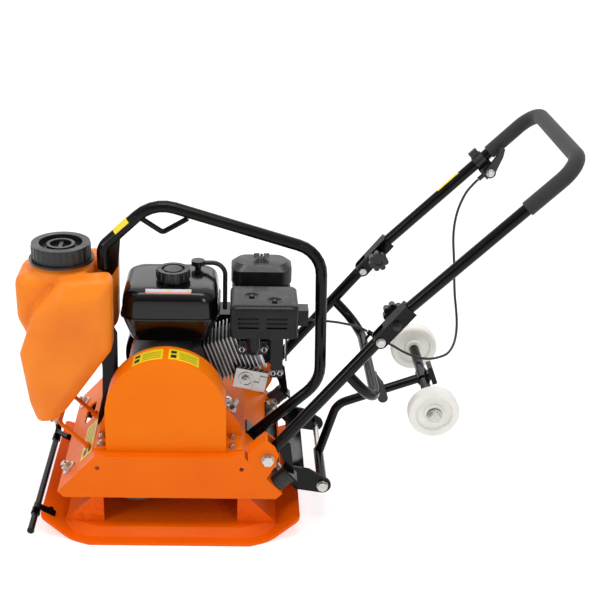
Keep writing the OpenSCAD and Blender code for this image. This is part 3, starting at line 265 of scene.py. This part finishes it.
def make_materials():
    zinc = Shader("zinc", (0.62, 0.61, 0.58), 0.3, 1.0)
    zinc.vary_colour(160, (0.42, 0.42, 0.4), 0.8).vary_rough(220, 0.2, 0.42).grain(900, 0.08)
    steel = Shader("steel", (0.48, 0.48, 0.49), 0.32, 1.0)
    steel.vary_rough(90, 0.22, 0.4).bump(steel.noise(60, 2, steel.stretched((1, 26, 1))), 0.06, 0.0003)
    alloy = Shader("cast_alloy", (0.6, 0.6, 0.61), 0.4, 0.85)
    alloy.vary_colour(40, (0.42, 0.42, 0.43), 0.9).grain(480, 0.35, 0.0006)
    # Painted shade: the alloy turns near black in gaps and inner corners within 14 mm, as between the fins.
    alloy.painted_gap_shade((0.012, 0.012, 0.013), 0.014)
    iron = Shader("machined_iron", (0.12, 0.12, 0.125), 0.42, 0.8)
    iron.vary_colour(60, (0.06, 0.06, 0.06), 0.9).grain(300, 0.2)
    silver = Shader("pressed_shield", (0.4, 0.38, 0.37), 0.22, 0.95)
    silver.vary_rough(60, 0.18, 0.3).grain(260, 0.03, 0.0003)
    powder = Shader("powder_black", (0.002, 0.0018, 0.0022), 0.16, Specular_IOR_Level=0.2)
    powder.vary_rough(25, 0.13, 0.22).grain(700, 0.1, 0.0003)
    black_enamel = Shader("black_enamel", (0.002, 0.0018, 0.0022), 0.12, Specular_IOR_Level=0.4)
    black_enamel.vary_rough(9, 0.12, 0.2).grain(350, 0.05, 0.0002)
    exhaust = Shader("heat_black", (0.006, 0.0055, 0.007), 0.24, Specular_IOR_Level=0.22)
    exhaust.vary_colour(30, (0.012, 0.0115, 0.014), 0.8).vary_rough(50, 0.2, 0.32).grain(900, 0.14, 0.0003)
    plastic = Shader("moulded_black", (0.007, 0.007, 0.008), 0.34)
    plastic.vary_rough(35, 0.27, 0.42).grain(1100, 0.18, 0.0003)
    tank = Shader("tank_plastic", (0.84, 0.23, 0.012), 0.4, Specular_IOR_Level=0.2,
                  Subsurface_Weight=0.12, Subsurface_Scale=0.01)
    tank.surface.inputs["Subsurface Radius"].default_value = (1.0, 0.3, 0.1)
    tank.vary_colour(9, (0.7, 0.15, 0.012), 0.8).vary_rough(20, 0.36, 0.5).grain(240, 0.08, 0.0004)
    foam = Shader("foam_sleeve", (0.03, 0.028, 0.03), 0.8, Sheen_Weight=0.15, Specular_IOR_Level=0.25)
    foam.vary_colour(500, (0.022, 0.02, 0.021), 0.9).grain(650, 0.7, 0.0008, 4)
    rubber = Shader("rubber", (0.016, 0.016, 0.016), 0.68)
    rubber.vary_colour(40, (0.035, 0.033, 0.03), 0.6).grain(380, 0.2)
    hose = Shader("hose", (0.55, 0.09, 0.02), 0.4)
    hose.vary_colour(60, (0.45, 0.06, 0.012), 0.8).grain(300, 0.1)
    cable = Shader("cable_sheath", (0.008, 0.008, 0.008), 0.35)
    cable.vary_rough(60, 0.28, 0.45).grain(500, 0.1)
    nylon = Shader("nylon", (0.8, 0.79, 0.74), 0.38, Subsurface_Weight=0.15, Subsurface_Scale=0.008)
    nylon.vary_colour(30, (0.7, 0.68, 0.63), 0.7).grain(260, 0.08)
    brass = Shader("brass", (0.68, 0.46, 0.16), 0.3, 1.0)
    brass.vary_colour(120, (0.5, 0.34, 0.12), 0.8).vary_rough(160, 0.22, 0.42).grain(600, 0.08)
    red = Shader("red_plastic", (0.42, 0.012, 0.01), 0.32)
    red.vary_colour(60, (0.33, 0.008, 0.008), 0.7).grain(500, 0.06)
    base = enamel("base_enamel", (0.84, 0.115, 0.0005), (0.76, 0.08, 0.0005), 0.36)
    base.worn_edges((0.5, 0.05, 0.008), 0.35)
    # The engine's colour: orange below a height of 318 mm, a dark alloy colour above it.
    engine = enamel("engine_orange_low_dark_high", (0.74, 0.075, 0.002), (0.62, 0.045, 0.001), 0.4)
    engine.above(0.318, (0.05, 0.045, 0.045))
    yellow = Shader("label_yellow", (0.8, 0.6, 0.012), 0.38)
    yellow.vary_colour(50, (0.74, 0.52, 0.008), 0.6).vary_rough(80, 0.3, 0.46)
    ink = Shader("label_ink", (0.02, 0.018, 0.015), 0.4)
    ink.vary_rough(80, 0.32, 0.5)
    white = Shader("label_white", (0.62, 0.62, 0.74), 0.3)
    white.vary_colour(60, (0.55, 0.56, 0.66), 0.6)
    band = Shader("label_band", (0.62, 0.24, 0.17), 0.3)
    band.vary_colour(60, (0.55, 0.19, 0.13), 0.6)
    return {
        "base": base.material,
        "deck": enamel("deck_enamel", (0.81, 0.145, 0.001), (0.74, 0.11, 0.001), 0.36).material,
        "guard": enamel("guard_enamel", (0.84, 0.175, 0.0005), (0.79, 0.145, 0.0005), 0.4).material,
        "black_steel": powder.material, "zinc": zinc.material, "steel": steel.material,
        "tank": tank.material, "black_plastic": plastic.material, "fuel_tank": black_enamel.material,
        "casting": alloy.material, "iron": iron.material, "shield": silver.material,
        "exhaust": exhaust.material, "rubber": rubber.material, "foam": foam.material,
        "hose": hose.material, "brass": brass.material, "wheel": nylon.material,
        "red_plastic": red.material, "cable": cable.material, "engine_paint": engine.material,
        "label_yellow": yellow.material, "label_ink": ink.material, "label_white": white.material,
        "label_band": band.material,
    }


# ---------------------------------------------------------------- making pieces
def place_piece(piece, nodes, slot=None, body=None):
    """Gives a new piece its body and slot from the CAD node it stands for, or from the names given."""
    nodes = [nodes] if isinstance(nodes, str) else list(nodes or [])
    if nodes:
        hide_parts(*nodes)
    slot = slot or SLOT_OF[nodes[0]]
    if not piece.data.materials:
        piece.data.materials.append(MATERIALS[slot])
    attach(piece, body or BODY_OF[nodes[0]])
    return piece


def new_object(name, data):
    piece = bpy.data.objects.new(name, data)
    bpy.context.scene.collection.objects.link(piece)
    return piece


def smooth_by_angle(piece, degrees):
    mesh = piece.data
    mesh.shade_smooth()
    mesh.set_sharp_from_angle(angle=math.radians(degrees))


def rounded_copy(node, width):
    """The CAD node's own shape with its hard edges rounded, so that they catch the light."""
    mesh = NODES[node].data.copy()
    mesh.materials.clear()
    form = bmesh.new()
    form.from_mesh(mesh)
    bmesh.ops.remove_doubles(form, verts=form.verts, dist=1e-6)
    bmesh.ops.dissolve_limit(form, angle_limit=math.radians(0.6), verts=form.verts, edges=form.edges)
    form.to_mesh(mesh)
    form.free()
    piece = new_object(node + "_rounded", mesh)
    smooth_by_angle(piece, HARD_EDGE)
    bevel = piece.modifiers.new("rounding", "BEVEL")
    bevel.width = width * MM
    bevel.segments = 3
    bevel.limit_method = "ANGLE"
    bevel.angle_limit = math.radians(HARD_EDGE)
    bevel.harden_normals = True
    bevel.use_clamp_overlap = True
    return place_piece(piece, node)


def loft(name, rings):
    """Closed skin through level rounded rectangles (z, x0, x1, y0, y1, corner), in millimetres."""
    form = bmesh.new()
    turns = 8
    loops = []
    for z, x0, x1, y0, y1, corner in rings:
        loop = []
        for cx, cy, start in ((x1 - corner, y1 - corner, 0), (x0 + corner, y1 - corner, 90),
                              (x0 + corner, y0 + corner, 180), (x1 - corner, y0 + corner, 270)):
            for k in range(turns + 1):
                angle = math.radians(start + 90 * k / turns)
                loop.append(form.verts.new(Vector((
                    cx + corner * math.cos(angle), cy + corner * math.sin(angle), z)) * MM))
        loops.append(loop)
    count = len(loops[0])
    for low, high in zip(loops, loops[1:]):
        for k in range(count):
            m = (k + 1) % count
            form.faces.new((low[k], low[m], high[m], high[k]))
    form.faces.new(reversed(loops[0]))
    form.faces.new(loops[-1])
    mesh = bpy.data.meshes.new(name)
    form.to_mesh(mesh)
    form.free()
    piece = new_object(name, mesh)
    smooth_by_angle(piece, 38)
    return piece


# ---------------------------------------------------------------- moulded water tank
def ball_points(centre, radius, rings=6, sides=12):
    """Points on a ball, for a convex hull."""
    points = [centre + Vector((0, 0, radius)), centre - Vector((0, 0, radius))]
    for i in range(1, rings):
        lean = math.pi * i / rings
        for k in range(sides):
            turn = math.tau * k / sides
            points.append(centre + radius * Vector((
                math.sin(lean) * math.cos(turn), math.sin(lean) * math.sin(turn), math.cos(lean))))
    return points


def add_hull(form, points):
    verts = [form.verts.new(p) for p in points]
    hull = bmesh.ops.convex_hull(form, input=verts)
    spare = {v for v in hull["geom_interior"] + hull["geom_unused"] if isinstance(v, bmesh.types.BMVert)}
    bmesh.ops.delete(form, geom=list(spare), context="VERTS")


def puffed(form, layers):
    """Convex block over outlines of X, Z corners at given Y, with a ball at each corner; millimetres."""
    add_hull(form, [p for outline, y, radius in layers for x, z in outline
                    for p in ball_points(Vector((x, y, z)) * MM, radius * MM)])


def drawn_in(outline, distance):
    """The outline's corners moved towards its middle by a distance."""
    middle = Vector((sum(x for x, z in outline), sum(z for x, z in outline))) / len(outline)
    return [tuple(Vector(p) + (middle - Vector(p)).normalized() * distance) for p in outline]


def blended_skin(name, form, voxel, rounds):
    """One skin over overlapping closed forms, with the creases between them softened."""
    mesh = bpy.data.meshes.new(name)
    form.to_mesh(mesh)
    form.free()
    piece = new_object(name, mesh)
    skin = piece.modifiers.new("skin", "REMESH")
    skin.mode = "VOXEL"
    skin.voxel_size = voxel * MM
    soften = piece.modifiers.new("soften", "SMOOTH")
    soften.factor = 0.5
    soften.iterations = rounds
    bpy.context.view_layer.update()
    result = bpy.data.meshes.new_from_object(piece.evaluated_get(bpy.context.evaluated_depsgraph_get()))
    piece.modifiers.clear()
    piece.data = result
    result.shade_smooth()
    return piece


TANK_Y = -52
LOBE = [
    (-187, 492), (-116, 498), (-119, 376), (-206, 254), (-225, 235), (-241, 233), (-250, 262),
    (-262, 360), (-234, 436),
]
TANK_BODY = [(-263.6, 484), (-263.6, 420), (-252, 395), (-172, 484), (-172, 400)]
NECK_AT = (-201, -52)
SHIELD_SCREWS = ((151, -67), (193, -88))


def make_water_tank():
    form = bmesh.new()
    for side in (-1, 1):
        puffed(form, [(LOBE, TANK_Y + side * 46, 14), (LOBE, TANK_Y + side * 78, 14),
                      (drawn_in(LOBE, 22), TANK_Y + side * 92, 9)])
    puffed(form, [(TANK_BODY, TANK_Y + y, 20) for y in (-34, 34)])
    for radius, low, high in ((58, 492, 512), (51, 505, 520)):
        ring = [Vector((NECK_AT[0] + radius * math.cos(a), NECK_AT[1] + radius * math.sin(a), z)) * MM
                for z in (low, high) for a in (math.tau * k / 48 for k in range(48))]
        add_hull(form, ring)
    tank = blended_skin("tank_moulding", form, 3, 7)
    place_piece(tank, "water_tank")


def make_fuel_tank():
    rings = [
        (362.6, -66, 60, -66, 22, 14), (363.4, -73, 67, -73, 28, 16), (367, -76, 71, -76, 32, 18),
        (380, -81, 76, -80, 43, 22), (396, -87, 83, -85, 59, 26), (409, -91, 88, -89, 71, 29),
        (412.6, -92, 89, -90, 74, 30), (413, -95, 92, -93, 77, 32), (415.4, -95, 92, -93, 77, 32),
        (415.8, -92.5, 89.5, -90.5, 74.5, 31), (424, -92, 89, -90, 74, 31), (440, -91, 88, -89, 73, 31),
        (450, -89.5, 86.5, -88, 71.5, 31), (457, -87, 84, -86, 69, 31), (462, -83.5, 80.5, -82.5, 65.5, 30),
        (465.5, -78, 75, -77, 60, 28), (467.6, -70, 67, -69, 52, 26), (468.6, -58, 55, -57, 40, 24),
        (469, -40, 37, -39, 22, 20),
    ]
    return place_piece(loft("fuel_tank_pressing", rings), "fuel_tank")


def make_muffler_shield():
    """Pressed cover over the muffler, with louvres in front and two dished screw wells on top."""
    level = (111, 237, -121, -12, 12)
    skin = place_piece(loft("shield_pressing", [
        (392, *level), (446, *level), (449.5, 111.8, 236.2, -120.2, -12.8, 11.5),
        (452.3, 114, 234, -118, -15, 10.5), (454.2, 117.5, 230.5, -114.5, -18.5, 9),
        (455, 122, 226, -110, -23, 8),
    ]), "muffler_shield")
    hollow = (112.4, 235.6, -119.6, -13.4, 11)
    inside = loft("shield_inside", [(385, *hollow), (446, *hollow), (450.5, 117, 231, -115, -18, 9)])
    form = bmesh.new()
    for row in range(3):
        for x in (126, 178):
            add_hull(form, [Vector((a, b, c)) * MM for a in (x, x + 38) for b in (-130, -110)
                            for c in (412 + 9 * row, 415.5 + 9 * row)])
    for x, y in SHIELD_SCREWS:
        add_hull(form, ball_points(Vector((x, y, 487.4)) * MM, 35.7 * MM, 60, 60))
    mesh = bpy.data.meshes.new("shield_cuts")
    form.to_mesh(mesh)
    form.free()
    cuts = new_object("shield_cuts", mesh)
    for cutter in (inside, cuts):
        cut = skin.modifiers.new("cut", "BOOLEAN")
        cut.operation = "DIFFERENCE"
        cut.solver = "EXACT"
        cut.object = cutter
    pressed = bpy.data.meshes.new_from_object(skin.evaluated_get(bpy.context.evaluated_depsgraph_get()))
    skin.modifiers.clear()
    skin.data = pressed
    smooth_by_angle(skin, 24)
    for cutter in (inside, cuts):
        bpy.data.objects.remove(cutter)
    form = bmesh.new()
    for x, y in SHIELD_SCREWS:
        add_nut(form, (x, y, 451.8), (0, 0, 1), 8, 4)
    mesh = bpy.data.meshes.new("shield_screws")
    form.to_mesh(mesh)
    form.free()
    screws = new_object("shield_screws", mesh)
    smooth_by_angle(screws, 30)
    place_piece(screws, None, "exhaust", "chassis")


# ---------------------------------------------------------------- cords
CABLE_UPPER = [
    (598, 156, 614), (588, 155, 603), (577, 154, 588), (568, 153, 567), (562, 152, 545),
    (559, 151, 520), (559, 149, 492), (562, 146, 463), (565, 141, 433), (567, 135, 403),
    (569, 126, 376), (572, 114, 350), (573, 99, 327), (570, 82, 307), (563, 66, 292),
    (551, 53, 281), (535, 46, 276), (516, 45, 272), (497, 52, 270), (479, 65, 270),
    (463, 78, 272), (449, 87, 277), (435, 92, 283), (420, 94, 291), (405, 95, 299),
]
CABLE_LOWER = [
    (391, 98, 307), (379, 101, 312), (365, 104, 316), (349, 105, 319), (331, 104, 323),
    (312, 100, 327), (293, 95, 331), (273, 90, 335), (253, 85, 340), (235, 79, 345),
    (220, 74, 351), (208, 69, 357),
]
HOSE = [
    (-225, 12, 198), (-225, 12, 187), (-226, 13, 175), (-229, 17, 160), (-234, 25, 145),
    (-240, 36, 131), (-246, 50, 119), (-252, 67, 109), (-257, 85, 102), (-261, 104, 99),
    (-262, 121, 99), (-262, 135, 97), (-262, 145, 92), (-262, 150, 84), (-262, 150, 76.3),
]


def curved_through(route, steps=4):
    """Points of a Catmull-Rom curve through the route, with its ends kept."""
    ends = [route[0] * 2 - route[1], *route, route[-1] * 2 - route[-2]]
    points = []
    for a, b, c, d in zip(ends, ends[1:], ends[2:], ends[3:]):
        for k in range(steps):
            t = k / steps
            points.append(0.5 * (2 * b + (c - a) * t + (2 * a - 5 * b + 4 * c - d) * t * t
                                 + (3 * b - a - 3 * c + d) * t ** 3))
    return points + [route[-1]]


def tube_mesh(name, points, diameter, sides=16):
    """Round tube along points in metres, with rings turned as little as possible from one to the next."""
    form = bmesh.new()
    loops = []
    side = None
    for i, point in enumerate(points):
        ahead = (points[min(i + 1, len(points) - 1)] - points[max(i - 1, 0)]).normalized()
        side = ahead.orthogonal() if side is None else side - ahead * side.dot(ahead)
        side.normalize()
        other = ahead.cross(side)
        loops.append([form.verts.new(point + diameter / 2 * (
            side * math.cos(math.tau * k / sides) + other * math.sin(math.tau * k / sides)))
            for k in range(sides)])
    for low, high in zip(loops, loops[1:]):
        for k in range(sides):
            m = (k + 1) % sides
            form.faces.new((low[k], low[m], high[m], high[k]))
    form.faces.new(reversed(loops[0]))
    form.faces.new(loops[-1])
    mesh = bpy.data.meshes.new(name)
    form.to_mesh(mesh)
    form.free()
    piece = new_object(name, mesh)
    smooth_by_angle(piece, 50)
    return piece


def make_cord(name, route, diameter, node, between=None):
    """Round cord on its route; where it crosses a joint, it is left on no body, with its place baked into its
    mesh.
    """
    points = curved_through([Vector(p) * MM for p in route])
    piece = tube_mesh(name, points, diameter * MM)
    if between:
        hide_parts(node)
        piece.data.materials.append(MATERIALS[SLOT_OF[node]])
        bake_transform(piece)
    else:
        place_piece(piece, node)
    return piece


# ---------------------------------------------------------------- labels and small metal
def make_label(name, body, point_at, size, marks, colours):
    """Thin printed film: point_at(u, v, height) gives its place, and marks(u, v) the number of its colour."""
    across, along = size
    form = bmesh.new()
    grid = [[form.verts.new(point_at(i / across, k / along, 0.45 * MM)) for k in range(along + 1)]
            for i in range(across + 1)]
    for i in range(across):
        for k in range(along):
            face = form.faces.new((grid[i][k], grid[i + 1][k], grid[i + 1][k + 1], grid[i][k + 1]))
            face.material_index = marks((i + 0.5) / across, (k + 0.5) / along)
    mesh = bpy.data.meshes.new(name)
    form.to_mesh(mesh)
    form.free()
    piece = new_object(name, mesh)
    for colour in colours:
        mesh.materials.append(MATERIALS[colour])
    film = piece.modifiers.new("film", "SOLIDIFY")
    film.thickness = FILM * MM
    film.offset = 0
    smooth_by_angle(piece, 40)
    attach(piece, body)


def one_colour(u, v):
    return 0


def plain_marks(u, v):
    """Two dark panels at one end and thin dark bars beside them, inside a clear border."""
    if 0.08 < u < 0.24:
        return 1 if 0.18 < v < 0.45 or 0.58 < v < 0.82 else 0
    return 1 if 0.34 < u < 0.92 and 0.15 < v < 0.85 and int(v * 24) % 4 == 0 else 0


def framed(origin, right, up, normal):
    """Place on a flat label from its corner and its two sides, in millimetres."""
    origin, right, up, normal = (Vector(v) for v in (origin, right, up, normal))
    return lambda u, v, height: (origin + right * u + up * v) * MM + normal.normalized() * height


def wrapped(start, end, radius, first, last):
    """Place on a label wrapped part of the way round a tube, in millimetres and degrees from straight up."""
    start, end = Vector(start), Vector(end)
    ahead = (end - start).normalized()
    side = ahead.cross(Vector((0, 0, 1))).normalized()
    top = side.cross(ahead)

    def place(u, v, height):
        turn = math.radians(first + (last - first) * v)
        out = top * math.cos(turn) + side * math.sin(turn)
        return (start.lerp(end, u) + out * radius) * MM + out * height
    return place


def make_labels():
    middle = Vector((-7, 254))
    for name, first, last in (("guard_label_left", 122, 92), ("guard_label_right", 87, 57)):
        def on_rim(u, v, height, first=first, last=last):
            turn = math.radians(first + (last - first) * u)
            reach = 113 * MM + height
            return Vector((middle.x * MM + reach * math.cos(turn), (-158 + 42 * v) * MM,
                           middle.y * MM + reach * math.sin(turn)))
        make_label(name, "chassis", on_rim, (40, 24), plain_marks, ("label_yellow", "label_ink"))
    slope = math.atan2(78, 73)
    down = Vector((-math.cos(slope), 0, -math.sin(slope)))
    corner = Vector((-141, -150, 174)) + 12 * down
    make_label("deck_label", "chassis",
               framed(corner + 34 * down, (0, 128, 0), -34 * down, (-math.sin(slope), 0, math.cos(slope))),
               (40, 24), plain_marks, ("label_yellow", "label_ink"))
    make_label("hoop_label", "chassis", wrapped((-96, -60, 572), (-71, -60, 595), 11, -70, 75),
               (20, 24), one_colour, ("label_yellow",))
    make_label("handle_label", "handle_upper", wrapped((529, 168, 578.5), (567, 168, 616.5), 11, -42, 24),
               (20, 12), one_colour, ("label_yellow",))


def pressed_onto(target, origin, right, up, towards):
    """Place on a label pressed onto a piece along a direction; the label's plane is in millimetres."""
    tree = BVHTree.FromObject(target, bpy.context.evaluated_depsgraph_get())
    origin, right, up = (Vector(v) for v in (origin, right, up))
    towards = Vector(towards).normalized()

    def place(u, v, height):
        start = (origin + right * u + up * v) * MM
        found, normal, _, _ = tree.ray_cast(start, towards)
        return found + normal * height
    return place


def strip_marks(u, v):
    if v < 0.3:
        return 1
    return 2 if abs(u - 0.5) < 0.03 or (abs(u - 0.92) < 0.03 and v < 0.8) else 0


# Nuts and bolt heads that are plated on a painted or cast node: place, axis, size over flats, height, body
PLATED = [
    *[((x, -76, 351), (0, -1, 0), 12, 7.4, "chassis") for x in (134, 176)],
    *[((x, -98, 312), (0, -1, 0), 10.5, 6.5, "chassis") for x in (193, 206)],
    *[((-66 + 41 * math.cos(math.radians(a)), side * 93, 112 + 41 * math.sin(math.radians(a))),
       (0, side, 0), 8.4, 5.2, "chassis") for side in (-1, 1) for a in range(0, 360, 60)],
    ((617.03, 138.3, 632.58), (0, -1, 0), 12, 5.5, "handle_upper"),
    *[((495, side * 155.6, 254), (0, side, 0), 20.6, 10, "wheel_frame") for side in (-1, 1)],
]


def add_nut(form, at, axis, across, height):
    """Washer and chamfered hexagon along an axis."""
    turn = Vector(axis).to_track_quat("Z", "Y").to_matrix().to_4x4()
    place = Matrix.Translation(Vector(at) * MM) @ turn
    corner = across / math.sqrt(3)
    profile = [(across * 0.66, 0, 32), (across * 0.66, across * 0.1, 32), (corner, across * 0.1, 6),
               (corner, height * 0.86, 6), (across * 0.46, height, 6)]
    for (r0, z0, n0), (r1, z1, n1) in (profile[0:2], profile[2:4]):
        loops = []
        for radius, z, count in ((r0, z0, n0), (r1, z1, n1)):
            loops.append([form.verts.new(place @ (Vector((
                radius * math.cos(math.tau * k / count), radius * math.sin(math.tau * k / count), z)) * MM))
                for k in range(count)])
        for k in range(n0):
            form.faces.new((loops[0][k], loops[0][(k + 1) % n0], loops[1][(k + 1) % n0], loops[1][k]))
        form.faces.new(reversed(loops[0]))
        if n0 == 6:
            inner = [form.verts.new(place @ (Vector((
                across * 0.46 * math.cos(math.tau * k / 6), across * 0.46 * math.sin(math.tau * k / 6),
                height)) * MM)) for k in range(6)]
            for k in range(6):
                form.faces.new((loops[1][k], loops[1][(k + 1) % 6], inner[(k + 1) % 6], inner[k]))
            form.faces.new(inner)
        else:
            form.faces.new(loops[1])


def make_nuts():
    for body in sorted({row[-1] for row in PLATED}):
        form = bmesh.new()
        for at, axis, across, height, owner in PLATED:
            if owner == body:
                add_nut(form, at, axis, across, height)
        mesh = bpy.data.meshes.new("plated_nuts_" + body)
        form.to_mesh(mesh)
        form.free()
        piece = new_object("plated_nuts_" + body, mesh)
        smooth_by_angle(piece, 30)
        place_piece(piece, None, "zinc", body)


# ---------------------------------------------------------------- build
make_camera()
MATERIALS = make_materials()
make_studio()
make_cord("throttle_cable_upper", CABLE_UPPER, 5, "cable_upper", ("handle_lower", "handle_upper"))
make_cord("throttle_cable_lower", CABLE_LOWER, 5, "cable_lower", ("chassis", "handle_lower"))
make_cord("tank_hose", HOSE, 9, "water_hose")
for name, node in NODES.items():
    node.data.materials.clear()
    node.data.materials.append(MATERIALS[SLOT_OF[name]])
    smooth_by_angle(node, HARD_EDGE)

ROUNDED = {
    "base_plate": 2.5, "deck": 1.2, "belt_guard": 2.5, "handle_brackets": 1.2, "crankcase": 2.5,
    "cylinder_block": 0.8, "rocker_cover": 2.0, "muffler": 1.0,
    "air_filter_base": 2.0, "air_filter_cover": 4.0, "fan_shroud": 2.0, "recoil_cover": 1.5,
    "wheel_bracket": 1.0, "latch_clip": 1.5, "throttle_clamp": 0.8, "throttle_lever": 0.8,
    "exciter_housing": 2.0, "carburettor": 0.8, "cylinder_shield": 0.6,
}
for name, width in ROUNDED.items():
    rounded_copy(name, width)
make_water_tank()
make_muffler_shield()
fuel_tank = make_fuel_tank()
make_labels()
make_label("fuel_tank_label", "chassis",
           pressed_onto(fuel_tank, (-46, -81, 520), (85, 0, 0), (0, 11, 0), (0, 0, -1)),
           (50, 12), strip_marks, ("label_white", "label_band", "label_yellow"))
make_nuts()
